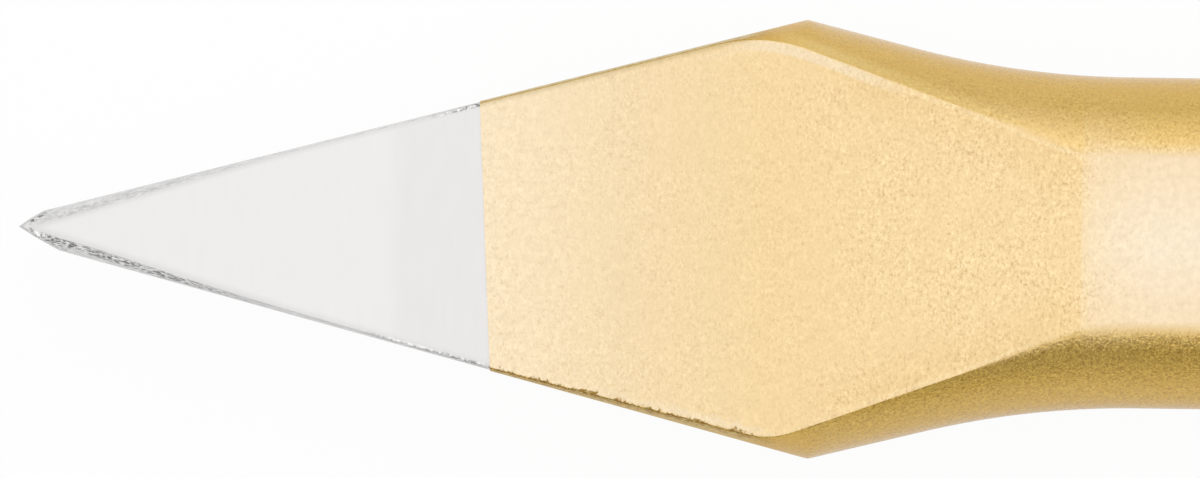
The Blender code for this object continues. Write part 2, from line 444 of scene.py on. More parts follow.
def between(tree, value, low, high, to_low, to_high, smooth=False):
    """Maps a value from one range to another, held at both ends."""
    sockets = {"Value": value, "From Min": low, "From Max": high, "To Min": to_low, "To Max": to_high}
    kind = "SMOOTHSTEP" if smooth else "LINEAR"
    return add(tree, "ShaderNodeMapRange", sockets, interpolation_type=kind).outputs["Result"]


def by_share(tree, share, at_none, at_full):
    """Goes from one value to another while a share goes from 0 to 1."""
    return between(tree, share, 0.0, 1.0, at_none, at_full)


def reckon(tree, operation, first, second=0.0):
    return add(tree, "ShaderNodeMath", {0: first, 1: second}, operation=operation).outputs[0]


def times(tree, product, *factors):
    for factor in factors:
        product = reckon(tree, "MULTIPLY", product, factor)
    return product


def rest_of(tree, share):
    """What a share leaves of the whole."""
    return reckon(tree, "SUBTRACT", 1.0, share)


def blend_colours(tree, share, first, second):
    """Mixes two colours, each of them a fixed one or another node's."""
    made = add(tree, "ShaderNodeMix", {"Factor": share}, data_type="RGBA")
    for number, colour in zip(COLOUR_SOCKETS, (first, second)):
        fill(tree, made, {number: (*colour, 1.0) if isinstance(colour, tuple) else colour})
    return made.outputs[COLOUR_RESULT]


def tinted(tree, colour, tint):
    return add(tree, "ShaderNodeVectorMath", {0: colour, 1: tint}, operation="MULTIPLY").outputs[0]


def bump(tree, height, distance, strength, under=None):
    sockets = {"Height": height, "Distance": distance, "Strength": strength}
    if under is not None:
        sockets["Normal"] = under
    return add(tree, "ShaderNodeBump", sockets).outputs["Normal"]


print("node helpers ready")

# %% [markdown]
# ## Finding a place on the forging
# Lacquer and grinding both show most along the borders of the flats. A painted mask could say where those
# borders are, but a formula stays sharp in a close-up. These helpers say how far a point lies from the
# cutting edge, past a line or outside a flat, and turn such a distance into a share.

# %% Place helpers
FULL_PART_OF_FADE = 0.3


def axes(tree, vector):
    """The X, Y and Z of a place or a direction."""
    return add(tree, "ShaderNodeSeparateXYZ", {"Vector": vector}).outputs


def from_edge(tree, place):
    """The distance u from the cutting edge, for textures."""
    return reckon(tree, "SUBTRACT", axes(tree, place)["X"], TIP.x)


def beyond_line(tree, place, point, normal):
    """How far a point lies past a line in plan, on the normal's side."""
    measured = add(tree, "ShaderNodeVectorMath", {0: place, 1: normal}, operation="DOT_PRODUCT")
    return reckon(tree, "SUBTRACT", measured.outputs["Value"], point.dot(normal))


def near_line(tree, distance, centre, fade):
    """1 on a line and close to it, falling to 0 where fade is reached on both sides."""
    off = reckon(tree, "ABSOLUTE", reckon(tree, "SUBTRACT", distance, centre))
    return between(tree, off, fade * FULL_PART_OF_FADE, fade, 1.0, 0.0, smooth=True)


def near_flats(tree, place, low, high, least):
    """1 on the flats and close to them, falling to the least share towards the middle of the flanks."""
    off_axis = reckon(tree, "ABSOLUTE", reckon(tree, "SUBTRACT", axes(tree, place)["Z"], TIP.z))
    return between(tree, off_axis, low, high, least, 1.0, smooth=True)


def beyond_flat(tree, place, side, border):
    """How far a point lies outside a flat, whose border is drawn straight through two distances u."""
    start, end = [Vector((u, side * half_flat(u, side), 0.0)) for u in border]
    along = end - start
    outward = side * Vector((-along.y, along.x, 0.0)).normalized()
    return beyond_line(tree, place, TIP + start, outward)


print("places are counted from the cutting edge at x =", round(TIP.x / MM, 1), "mm")

# %% [markdown]
# ## Gold lacquer: painted sheen on the flats, deep flanks
# The lacquer is clear, with fine gold flake in it, sprayed on a blasted forging. The pressed flats look paler
# than the rounded flanks, and palest beside the grind line and along the middle of the shank, as the light
# falls on them. One gold under a suitable light would show a part of that. Here that sheen is painted: the
# gold is mixed by which way the surface faces and by the distance from the edge, so that it stays the same
# under other light too.

# %% Flats and flanks
# The flats' colours below carry a painted sheen over the deep gold of the flanks.
DEEP_GOLD = (0.72, 0.46, 0.09)
PALE_GOLD = (0.770, 0.572, 0.287)
SHEEN_GOLD = (0.775, 0.643, 0.450)
# painted sheen on the shank's flats: palest along the middle, less towards the sides
SHANK_SHEEN_GOLD = (0.778, 0.651, 0.471)
SHANK_SIDE_GOLD = (0.753, 0.592, 0.378)
# painted sheen beside the grind line, fading out along the blade
SHEEN_AT_LINE, SHEEN_UNTIL = 0.8, 45.0 * MM
FOLD_FADE, FOLD_FADE_POWER = 4.5 * MM, 0.3
SLOW_FALLOFF, SLOW_FAR_SHARE = 8.0, 0.15
FAST_FALLOFF, FAST_FAR_SHARE = 70.0, 0.05
FAST_SHARE = 0.76
LEVEL_FROM, LEVEL_FULL = 0.97, 0.997


def shank_share(tree, place):
    """0 ahead of the fold, rising fast behind it and then slowly to 1."""
    behind = between(tree, from_edge(tree, place), EDGE_TO_FOLD, EDGE_TO_FOLD + FOLD_FADE, 0.0, 1.0)
    return reckon(tree, "POWER", behind, FOLD_FADE_POWER)


def painted_sheen_share(tree, place, normal):
    """Painted sheen: 1 on the flats, falling off round the flanks, slowly on the blade and mostly fast on the
    shank.
    """
    parts = axes(tree, normal)
    upright = reckon(tree, "ABSOLUTE", parts["Z"])
    shares = []
    for falloff, far_share in ((SLOW_FALLOFF, SLOW_FAR_SHARE), (FAST_FALLOFF, FAST_FAR_SHARE)):
        facing = reckon(tree, "ADD", upright, times(tree, parts["Y"], far_share))
        shares.append(reckon(tree, "POWER", by_share(tree, facing, 0.0, 1.0), falloff))
    u = from_edge(tree, place)
    to_shank = between(tree, u, EDGE_TO_FOLD - FOLD_FADE, EDGE_TO_FOLD + FOLD_FADE, 0.0, FAST_SHARE)
    return add(tree, "ShaderNodeMix", {"Factor": to_shank, "A": shares[0], "B": shares[1]}).outputs[0]


def lying_level(tree, normal):
    """1 where the surface lies level to within a few degrees, 0 where it bends away."""
    upright = reckon(tree, "ABSOLUTE", axes(tree, normal)["Z"])
    return between(tree, upright, LEVEL_FROM, LEVEL_FULL, 0.0, 1.0, smooth=True)


def shank_flat_sheen(tree, place):
    """The shank's flats, with a painted sheen that is palest along their middle."""
    off_middle = reckon(tree, "ABSOLUTE", axes(tree, place)["Y"])
    middle_sheen = between(tree, off_middle, 0.0, HALF_SHANK_FLATS[NEAR], 1.0, 0.0, smooth=True)
    return blend_colours(tree, middle_sheen, SHANK_SIDE_GOLD, SHANK_SHEEN_GOLD)


print("what leans by less than", round(math.degrees(math.acos(LEVEL_FULL)), 1), "degrees counts as level")

# %% [markdown]
# ## Gold lacquer: painted shade and light along the borders of the blade
# Ahead of the widest point a dark and ragged line of painted shade runs along the near border, and the strip
# outside it carries a painted reflection. At the far border a painted shade rolls off softly into a narrow
# strip with a painted reflection and dark dashes. A pale rim of painted highlight lies inside both. The ragged
# line is a straight one, shaken by the noise that also gives the lacquer its orange peel, so that its breaks
# fit the skin beside it.

# %% Borders of the blade
# painted reflection on the strips outside the flats, and painted shade on the ragged line
NEAR_REFLECTION_GOLD = (0.70, 0.54, 0.22)
RAGGED_SHADE_GOLD = (0.30, 0.17, 0.035)
FAR_REFLECTION_GOLD = (0.72, 0.65, 0.44)
DASHED_GOLD = (0.45, 0.33, 0.12)
ROLL_SHADE_TINT = (0.745, 0.725, 0.61)
CORNER_REACH = 5.0 * MM
BLADE_BORDER = EDGE_TO_WEB, EDGE_TO_WIDEST - CORNER_REACH
RAGGED_LINE, RAGGED_WANDER = 0.17 * MM, 0.60 * MM
RAGGED_FLAKE, RAGGED_LEAST = (0.38, 0.52), 0.25
DASH_PEEL = 0.50, 0.58
RIM_WIDTH, ROLL_WIDTH = 0.35 * MM, 0.45 * MM
STRIP_SOFTNESS = 0.03 * MM
STRIP_FADE, STRIP_UNTIL = 2.5 * MM, 46.0 * MM
STRIP_HEIGHT, STRIP_LEAST = 3.4 * MM, 0.5


def ahead_of_widest(tree, place, **shares):
    """Fades what runs along the blade's borders out at the widest point and down the flanks."""
    along = between(tree, from_edge(tree, place), STRIP_UNTIL - STRIP_FADE, STRIP_UNTIL, 1.0, 0.0)
    fade = times(tree, along, near_flats(tree, place, 0.0, STRIP_HEIGHT, STRIP_LEAST))
    return {name: times(tree, share, fade) for name, share in shares.items()}


def strip_outside(tree, beyond):
    return between(tree, beyond, -STRIP_SOFTNESS, STRIP_SOFTNESS, 0.0, 1.0, smooth=True)


def painted_near_border(tree, place, peel, flake):
    """Near border of the blade: the strip's painted reflection, its ragged painted shade, a painted highlight
    inside.
    """
    wander = by_share(tree, peel, -RAGGED_WANDER, RAGGED_WANDER)
    shaken = reckon(tree, "ADD", beyond_flat(tree, place, NEAR, BLADE_BORDER), wander)
    line = near_line(tree, shaken, 0.0, RAGGED_LINE)
    line = times(tree, line, between(tree, flake, *RAGGED_FLAKE, RAGGED_LEAST, 1.0))
    rim = near_line(tree, shaken, -RIM_WIDTH, RIM_WIDTH)
    return ahead_of_widest(tree, place, strip=strip_outside(tree, shaken), line=line, rim=rim)


def painted_far_border(tree, place):
    """Far border of the blade: the strip's painted reflection, the painted shade of its roll-off, a painted
    highlight inside.
    """
    beyond = beyond_flat(tree, place, FAR, BLADE_BORDER)
    roll = between(tree, beyond, -ROLL_WIDTH, 0.0, 0.0, 1.0, smooth=True)
    rim = near_line(tree, beyond, -ROLL_WIDTH - RIM_WIDTH / 2, RIM_WIDTH)
    return ahead_of_widest(tree, place, strip=strip_outside(tree, beyond), roll=roll, rim=rim)


print("the blade's borders follow the flat between", [round(u / MM, 1) for u in BLADE_BORDER], "mm")

# %% [markdown]
# ## Gold lacquer: borders of the ramp
# Behind the widest point the flat climbs to the shank between two slanting borders. The gold deepens towards
# them in painted shade, and pales again in a painted highlight on a line just inside. Where the far border
# turns from the blade into the ramp, a pale rim of painted highlight follows its rounded corner: a smooth
# maximum of two straight lines, which bends by a cubic where the forging's own blend is a square, and so needs
# half as much length again. Outside the far border a band over the corner is painted brighter, a painted
# highlight.

# %% Borders of the ramp
BORDER_SHADE_GOLD = (0.745, 0.533, 0.247)
BAND_HIGHLIGHT_GOLD = (0.84, 0.59, 0.19)
FOLD_MARGIN = 1.0 * MM
RAMP_BORDER = EDGE_TO_WIDEST + CORNER_REACH, EDGE_TO_FOLD - FOLD_MARGIN
RAMP_FROM, RAMP_FULL = EDGE_TO_WIDEST - 2.0 * MM, EDGE_TO_WIDEST + 4.0 * MM
BORDER_WIDTH, BORDER_LINE = 3.5 * MM, 0.22 * MM
CORNER_RIM_INSET, CORNER_RIM_WIDTH = 0.34 * MM, 0.44 * MM
CORNER_RIM_REACH = 7.0 * MM
CUBIC_TO_SQUARE = 1.5
CORNER_RIM_BLEND = CUBIC_TO_SQUARE * FLAT_CORNER_BLENDS[FAR]
HIGHLIGHT_BAND_WIDTH, HIGHLIGHT_BAND_RISE = 0.9 * MM, 3.0 * MM


def border_shade_share(tree, place):
    """Painted shade rising towards the slanting borders of the ramp, dropping again on a painted highlight
    line.
    """
    sides = [beyond_flat(tree, place, side, RAMP_BORDER) for side in (FAR, NEAR)]
    beyond = reckon(tree, "MAXIMUM", *sides)
    towards = between(tree, beyond, -BORDER_WIDTH, -BORDER_LINE * 2, 0.0, 1.0)
    line = near_line(tree, beyond, -BORDER_LINE, BORDER_LINE)
    on_ramp = between(tree, from_edge(tree, place), RAMP_FROM, RAMP_FULL, 0.0, 1.0)
    on_ramp = reckon(tree, "SUBTRACT", on_ramp, shank_share(tree, place))
    return times(tree, on_ramp, reckon(tree, "SUBTRACT", towards, line))


def corner_rim_highlight(tree, place):
    """A painted highlight: a pale rim inside the far border, where it turns from the blade into the ramp."""
    front, rear = [beyond_flat(tree, place, FAR, border) for border in (BLADE_BORDER, RAMP_BORDER)]
    lines = {0: front, 1: rear, 2: CORNER_RIM_BLEND}
    beyond = add(tree, "ShaderNodeMath", lines, operation="SMOOTH_MAX").outputs[0]
    rim = near_line(tree, beyond, -CORNER_RIM_INSET, CORNER_RIM_WIDTH)
    return times(tree, rim, near_line(tree, from_edge(tree, place), EDGE_TO_WIDEST, CORNER_RIM_REACH))


def far_border_highlight(tree, place, level):
    """A painted highlight outside the ramp's far border, brighter over the corner."""
    line = near_line(tree, beyond_flat(tree, place, FAR, RAMP_BORDER), 0.0, HIGHLIGHT_BAND_WIDTH)
    past = between(tree, from_edge(tree, place), EDGE_TO_WIDEST - HIGHLIGHT_BAND_RISE, EDGE_TO_WIDEST, 0.0, 1.0)
    return times(tree, past, rest_of(tree, shank_share(tree, place)), rest_of(tree, level), line)


print("the ramp's borders follow the flat between", [round(u / MM, 1) for u in RAMP_BORDER], "mm")

# %% [markdown]
# ## Gold lacquer: flake and relief
# The flake shows as separate dark and light specks. They are faint ahead of the widest point and strong on
# the ramp, the near flank and the near bend of the shank, they change in patches, and on the shank's flats
# they can hardly be seen. The blasted steel under the film gives it a fine relief, which the press has
# smoothed on the flats. Modelled specks would need millions of faces, so both are textures.

# %% Flake and relief
PLAIN = (1.0, 1.0, 1.0)
DARK_FLAKE = (0.79, 0.725, 0.61)
LIGHT_FLAKE = (1.15, 1.20, 1.32)
DARK_SPECKS, LIGHT_SPECKS = (0.45, 0.33), (0.53, 0.66)
FINE_GRAIN, COARSE_GRAIN = 0.50, 1.2
COARSE_FROM, COARSE_FULL = EDGE_TO_WIDEST - 3.0 * MM, EDGE_TO_WIDEST + 9.0 * MM
NEAR_LEAN, NEAR_GRAIN = -0.45, 1.9
PATCH_TEXTURE = 260.0, 2.0, 0.5
PATCH_RANGE, PATCH_GRAIN = (0.35, 0.65), (0.6, 1.3)
SPARKLE_LEAN, SPARKLE_REACH, SPARKLE_GRAIN = -0.28, 0.25, 1.8
SHANK_GRAIN, SHANK_RELIEF = 0.2, 0.3
FLANK_RELIEF, FLAT_RELIEF = 0.9, 0.17
FAR_LEAN, FAR_RELIEF = 0.3, 0.55


def speckles(tree, flake, contrast):
    """Separate dark and light specks, with plain lacquer between them."""
    dark = times(tree, between(tree, flake, *DARK_SPECKS, 0.0, 1.0), contrast)
    light = times(tree, between(tree, flake, *LIGHT_SPECKS, 0.0, 1.0), contrast)
    darker = blend_colours(tree, dark, PLAIN, DARK_FLAKE)
    return blend_colours(tree, light, darker, LIGHT_FLAKE)


def flake_contrast(tree, place, sideways, shank_flat):
    """How strongly the flake shows, by the place and by how far the surface leans to the far side."""
    along = between(tree, from_edge(tree, place), COARSE_FROM, COARSE_FULL, FINE_GRAIN, COARSE_GRAIN)
    near = between(tree, sideways, NEAR_LEAN, 0.0, NEAR_GRAIN, 1.0)
    patches = between(tree, grain(tree, place, *PATCH_TEXTURE), *PATCH_RANGE, *PATCH_GRAIN)
    sparkle = by_share(tree, near_line(tree, sideways, SPARKLE_LEAN, SPARKLE_REACH), 1.0, SPARKLE_GRAIN)
    return times(tree, along, near, patches, sparkle, by_share(tree, shank_flat, 1.0, SHANK_GRAIN))


def blasted_relief(tree, sideways, flat, shank_flat):
    """How strongly the blasted steel shows: most on the near flank, and least on the shank's flats."""
    relief = by_share(tree, flat, FLANK_RELIEF, FLAT_RELIEF)
    on_shank = by_share(tree, shank_flat, 1.0, SHANK_RELIEF)
    on_far_side = between(tree, sideways, 0.0, FAR_LEAN, 1.0, FAR_RELIEF)
    return times(tree, relief, on_shank, on_far_side)


print("the flake is", round(COARSE_GRAIN / FINE_GRAIN, 1), "times as strong on the ramp as on the blade")

# %% [markdown]
# ## Gold lacquer: the whole finish
# The flake gives a rough gold reflection and the clear top a paler, neutral sheen, so the shader is a metal
# with a coat. The coat is thin on the flanks of the blade, along the ragged line and on the near bend, where
# the gold below is smoother too. Flake and orange peel are two bumps, one on the other.

# %% Make the gold lacquer
GRAZING_TINT = (0.94, 0.79, 0.54, 1.0)
# painted highlights: how much each pale rim adds to the painted sheen
NEAR_RIM_HIGHLIGHT, FAR_RIM_HIGHLIGHT, CORNER_RIM_HIGHLIGHT = 0.6, 0.3, 0.65
FLAKE_TEXTURE, FLAKE_STRETCH = (5600.0, 3.0, 0.75), (1.0, 0.7, 1.0)
PEEL_TEXTURE = 2400.0, 4.0, 0.6
PEEL_HEIGHT, FLAKE_HEIGHT = 0.05 * MM, 0.09 * MM
BEND_LEAN, BEND_REACH = -0.42, 0.40
BEND_THINNING, BEND_POLISH = 0.6, 0.10
COAT_FROM, COAT_FULL = EDGE_TO_WIDEST - 2.5 * MM, EDGE_TO_WIDEST + 1.0 * MM
COAT_LEAST, COAT_ROUGHNESS, COAT_IOR = 0.1, 0.2, 1.5
GOLD_ROUGHNESS, FLANK_POLISH = (0.36, 0.46), 0.12


def lacquer_colour(tree, place, normal, peel, near_border, far_border):
    """The gold without its specks: the flats' painted sheen, the flanks, then painted shade and highlights at
    the borders.
    """
    # painted sheen, palest beside the grind line
    painted_sheen = between(tree, from_edge(tree, place), EDGE_TO_LACQUER, SHEEN_UNTIL, SHEEN_AT_LINE, 0.0)
    # painted highlights: the pale rims inside the borders
    rims = (near_border["rim"], NEAR_RIM_HIGHLIGHT), (far_border["rim"], FAR_RIM_HIGHLIGHT), (corner_rim_highlight(tree, place), CORNER_RIM_HIGHLIGHT)
    for rim, share in rims:
        painted_sheen = reckon(tree, "MAXIMUM", painted_sheen, times(tree, rim, share))
    # painted shade towards the ramp's borders
    on_flat = blend_colours(tree, border_shade_share(tree, place), PALE_GOLD, BORDER_SHADE_GOLD)
    on_flat = blend_colours(tree, painted_sheen, on_flat, SHEEN_GOLD)
    # the shank's flats, with a painted sheen along their middle
    on_flat = blend_colours(tree, shank_share(tree, place), on_flat, shank_flat_sheen(tree, place))
    # painted sheen: pale gold where the surface faces up, deep gold round the flanks
    level = painted_sheen_share(tree, place, normal)
    gold = blend_colours(tree, level, DEEP_GOLD, on_flat)
    # painted highlight in a band outside the ramp's far border
    gold = blend_colours(tree, far_border_highlight(tree, place, level), gold, BAND_HIGHLIGHT_GOLD)
    # painted shade where the far border rolls off
    gold = tinted(tree, gold, blend_colours(tree, far_border["roll"], PLAIN, ROLL_SHADE_TINT))
    # painted reflection on the far strip, with dark dashes
    dashes = between(tree, peel, *DASH_PEEL, 0.0, 1.0)
    dashed = blend_colours(tree, dashes, FAR_REFLECTION_GOLD, DASHED_GOLD)
    gold = blend_colours(tree, far_border["strip"], gold, dashed)
    # painted reflection on the near strip
    gold = blend_colours(tree, near_border["strip"], gold, NEAR_REFLECTION_GOLD)
    # the ragged line of painted shade along the near border
    return blend_colours(tree, near_border["line"], gold, RAGGED_SHADE_GOLD)


def clear_top(tree, place, flat, line, bend):
    """The weight of the clear top, which is full on the flats and behind the widest point."""
    behind_widest = between(tree, from_edge(tree, place), COAT_FROM, COAT_FULL, COAT_LEAST, 1.0)
    weight = reckon(tree, "MAXIMUM", flat, behind_widest)
    return times(tree, weight, rest_of(tree, line), rest_of(tree, times(tree, bend, BEND_THINNING)))


def gold_roughness(tree, peel, flat, bend):
    """The roughness of the gold, which is less on the flanks and least on the near bend."""
    roughness = between(tree, peel, *NOISE_RANGE, *GOLD_ROUGHNESS)
    for polish in (by_share(tree, flat, FLANK_POLISH, 0.0), times(tree, bend, BEND_POLISH)):
        roughness = reckon(tree, "SUBTRACT", roughness, polish)
    return roughness


def gold_lacquer():
    material, tree, shader, coordinates = new_finish("gold_lacquer_finish")
    place, normal = coordinates["Object"], coordinates["Normal"]
    flake = grain(tree, stretched(tree, place, FLAKE_STRETCH), *FLAKE_TEXTURE)
    peel = grain(tree, place, *PEEL_TEXTURE)
    near_border = painted_near_border(tree, place, peel, flake)
    far_border = painted_far_border(tree, place)
    gold = lacquer_colour(tree, place, normal, peel, near_border, far_border)
    sideways = axes(tree, normal)["Y"]
    flat = lying_level(tree, normal)
    shank_flat = times(tree, shank_share(tree, place), flat)
    bend = near_line(tree, sideways, BEND_LEAN, BEND_REACH)
    contrast = flake_contrast(tree, place, sideways, shank_flat)
    relief = blasted_relief(tree, sideways, flat, shank_flat)
    skin = bump(tree, peel, PEEL_HEIGHT, relief)
    finish = {
        "Base Color": tinted(tree, gold, speckles(tree, flake, contrast)),
        "Metallic": 1.0,
        "Roughness": gold_roughness(tree, peel, flat, bend),
        "Specular Tint": GRAZING_TINT,
        "Coat Weight": clear_top(tree, place, flat, near_border["line"], bend),
        "Coat Roughness": COAT_ROUGHNESS,
        "Coat IOR": COAT_IOR,
        "Normal": bump(tree, flake, FLAKE_HEIGHT, relief, under=skin),
    }
    fill(tree, shader, finish)
    return material


lacquer_film.data.materials.append(gold_lacquer())
print("lacquer finish:", len(lacquer_film.data.materials[0].node_tree.nodes), "nodes")

# %% [markdown]
# ## Ground steel: borders and pits
# The borders of the tip's flats are a shade darker, a painted shade. Small dark pits, with bright flecks among
# them, stay where the belt hardly reaches: along the borders behind the bevels, most of them on the near side,
# and again just ahead of the lacquer. The corners of the cutting bevels are broken, with a painted highlight
# along them and a line of pits inside. All of it is drawn by distance from the lines that the steel was ground
# along.

# %% Borders and pits of the tip
FRONT_BORDER = 3.5 * MM, 15.0 * MM
REAR_BORDER = 18.0 * MM, 25.5 * MM
FRONT_PITS = {FAR: 0.22, NEAR: 1.0}
FRONT_PITS_RISE, FRONT_PITS_FADE = (0.8 * MM, 1.6 * MM), (8.5 * MM, 17.0 * MM)
FRONT_PITS_CENTRE, FRONT_PITS_REACH = 0.18 * MM, 0.30 * MM
LINE_PITS = {FAR: 1.0, NEAR: 0.6}
LINE_PITS_FROM = {FAR: 24.5 * MM, NEAR: 20.5 * MM}
LINE_PITS_RISE = 2.5 * MM
LINE_PITS_CENTRE, LINE_PITS_REACH = -0.08 * MM, 0.20 * MM
BREAK_REACH = 0.24 * MM
BEVEL_PITS_RISE = 0.4 * MM, 0.8 * MM
BEVEL_PITS_INSET, BEVEL_PITS_REACH = 0.22 * MM, 0.15 * MM


def beyond_ground_flat(tree, place, side):
    """How far a point lies outside the ground flat, whose bent border is followed by two straight lines."""
    lines = [beyond_flat(tree, place, side, border) for border in (FRONT_BORDER, REAR_BORDER)]
    return reckon(tree, "MAXIMUM", *lines)


def edge_pits(tree, place, beyond, side):
    """The pits along a flat's border: behind the bevel, most of them on the near side, and by the lacquer."""
    u = from_edge(tree, place)
    rise = between(tree, u, *FRONT_PITS_RISE, 0.0, FRONT_PITS[side])
    fade = between(tree, u, *FRONT_PITS_FADE, 1.0, 0.0, smooth=True)
    front = times(tree, rise, fade, near_line(tree, beyond, FRONT_PITS_CENTRE, FRONT_PITS_REACH))
    line_from = LINE_PITS_FROM[side]
    by_lacquer = between(tree, u, line_from, line_from + LINE_PITS_RISE, 0.0, LINE_PITS[side])
    rear = times(tree, by_lacquer, near_line(tree, beyond, LINE_PITS_CENTRE, LINE_PITS_REACH))
    return reckon(tree, "MAXIMUM", front, rear)


def bevel_marks(tree, place):
    """A painted highlight on the broken corner along both cutting bevels, and the line of pits inside it."""
    past_tip = between(tree, from_edge(tree, place), *BEVEL_PITS_RISE, 0.0, 1.0, smooth=True)
    highlights, pitted = [], []
    for bevel in bevel_normals:
        beyond = beyond_line(tree, place, TIP + CUTTING_EDGE, bevel)
        highlights.append(near_line(tree, beyond, 0.0, BREAK_REACH))
        pitted.append(times(tree, near_line(tree, beyond, -BEVEL_PITS_INSET, BEVEL_PITS_REACH), past_tip))
    return reckon(tree, "MAXIMUM", *highlights), reckon(tree, "MAXIMUM", *pitted)


print("bevels, degrees:", [round(math.degrees(angle), 1) for angle in BEVEL_ANGLES.values()])

# %% [markdown]
# ## Ground steel: the whole finish
# The tip is ground on a fine belt and shines almost white, with marks too faint to see as lines: a noise that
# is squeezed along the tool gives them. The last pass of the belt stopped short of the lacquer, so a band
# beside it is a shade darker. The flanks of the tip are clouded, and the pits leave its borders uneven.

# %% Make the ground steel
BRIGHT_STEEL = (0.70, 0.69, 0.68)
DULL_STEEL = (0.67, 0.662, 0.653)
BORDER_SHADE_STEEL = (0.61, 0.602, 0.596)
# painted highlight on the broken corners of the bevels
BEVEL_HIGHLIGHT_STEEL = (0.70, 0.695, 0.69)
DARK_FLANK = (0.62, 0.615, 0.61)
LIGHT_FLANK = (0.90, 0.89, 0.885)
PIT_COLOUR = (0.15, 0.15, 0.15)
FLECK_COLOUR = (0.97, 0.97, 0.97)
BELT_TEXTURE, BELT_STRETCH = (1.0, 3.0, 0.6), (4800.0, 300.0, 300.0)
CLOUD_TEXTURE = 1500.0, 3.0, 0.6
PIT_TEXTURE = 3200.0, 2.0, 0.65
DARK_PITS, BRIGHT_FLECKS = (0.48, 0.56), (0.43, 0.35)
FLECK_SHARE = 0.9
GROUND_LEVEL = 0.80, 0.98
LAST_PASS, LAST_PASS_FADE = 21.9 * MM, 1.4 * MM
BORDER_SHADE_WIDTHS = {FAR: 0.45 * MM, NEAR: 0.60 * MM}
PITS_LOW, PITS_HIGH = 1.2 * MM, 2.4 * MM
PIT_HEIGHT, PIT_STRENGTH = 0.03 * MM, 0.5
MARK_HEIGHT, MARK_STRENGTH = 0.0005 * MM, 0.4
STEEL_ROUGHNESS = 0.39, 0.41


def steel_colour(tree, place, normal, borders):
    """The steel without its pits: the flats with painted shade along their borders, and the clouded flanks."""
    band = between(tree, from_edge(tree, place), LAST_PASS, LAST_PASS + LAST_PASS_FADE, 0.0, 1.0, smooth=True)
    on_flat = blend_colours(tree, band, BRIGHT_STEEL, DULL_STEEL)
    for side, beyond in borders.items():
        # painted shade along the border of each flat
        border_shade = between(tree, beyond, -BORDER_SHADE_WIDTHS[side], 0.0, 0.0, 1.0, smooth=True)
        on_flat = blend_colours(tree, border_shade, on_flat, BORDER_SHADE_STEEL)
    cloud = between(tree, grain(tree, place, *CLOUD_TEXTURE), *NOISE_RANGE, 0.0, 1.0)
    on_flank = blend_colours(tree, cloud, DARK_FLANK, LIGHT_FLANK)
    upright = reckon(tree, "ABSOLUTE", axes(tree, normal)["Z"])
    flatness = between(tree, upright, *GROUND_LEVEL, 0.0, 1.0, smooth=True)
    return blend_colours(tree, flatness, on_flank, on_flat)


def ground_steel():
    material, tree, shader, coordinates = new_finish("ground_steel_finish")
    place = coordinates["Object"]
    borders = {side: beyond_ground_flat(tree, place, side) for side in (FAR, NEAR)}
    steel = steel_colour(tree, place, coordinates["Normal"], borders)
    bevel_highlight, pitted = bevel_marks(tree, place)
    for side, beyond in borders.items():
        pitted = reckon(tree, "MAXIMUM", pitted, edge_pits(tree, place, beyond, side))
    pitted = times(tree, pitted, near_flats(tree, place, PITS_LOW, PITS_HIGH, 0.0))
    pits = grain(tree, place, *PIT_TEXTURE)
    flecks = times(tree, pitted, between(tree, pits, *BRIGHT_FLECKS, 0.0, FLECK_SHARE))
    dark = times(tree, pitted, between(tree, pits, *DARK_PITS, 0.0, 1.0))
    # painted highlight along the broken corners of the bevels
    steel = blend_colours(tree, bevel_highlight, steel, BEVEL_HIGHLIGHT_STEEL)
    steel = blend_colours(tree, flecks, steel, FLECK_COLOUR)
    steel = blend_colours(tree, dark, steel, PIT_COLOUR)
    marks = grain(tree, stretched(tree, place, BELT_STRETCH), *BELT_TEXTURE)
    uneven = bump(tree, times(tree, pitted, pits), PIT_HEIGHT, PIT_STRENGTH)
    finish = {
        "Base Color": steel,
        "Metallic": 1.0,
        "Roughness": between(tree, marks, *NOISE_RANGE, *STEEL_ROUGHNESS),
        "Normal": bump(tree, marks, MARK_HEIGHT, MARK_STRENGTH, under=uneven),
    }
    fill(tree, shader, finish)
    return material


steel_body.data.materials.append(ground_steel())
print("steel finish:", len(steel_body.data.materials[0].node_tree.nodes), "nodes")

# %% [markdown]
# ## Riding on the frame
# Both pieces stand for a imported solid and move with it. The chisel has no joint, so its one body is the root.

# %% Tie the pieces to the frame
for piece, node, slot in (
    (steel_body, "forged_body", "bare_steel"),
    (lacquer_film, "lacquer_coat", "gold_lacquer"),
):
    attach(piece, "root")
    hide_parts(node)
    print(piece.name, "stands for", node)

# %% [markdown]
# ## The floor
# The chisel lies on a white table. The table is white to the camera and pale in reflections, and keeps a part
# of its own shading so that the chisel's shadow stays.

# %% Lay the floor
WHITE = (1.0, 1.0, 1.0, 1.0)
FLOOR_HALF_SIZE = 3.0
FLOOR_GAP = 0.1 * MM
FLOOR_COLOUR = (0.93, 0.93, 0.93, 1.0)
FLOOR_ROUGHNESS = 0.9
GLOW_TO_CAMERA = 0.95
GLOW_IN_REFLECTIONS = 0.35


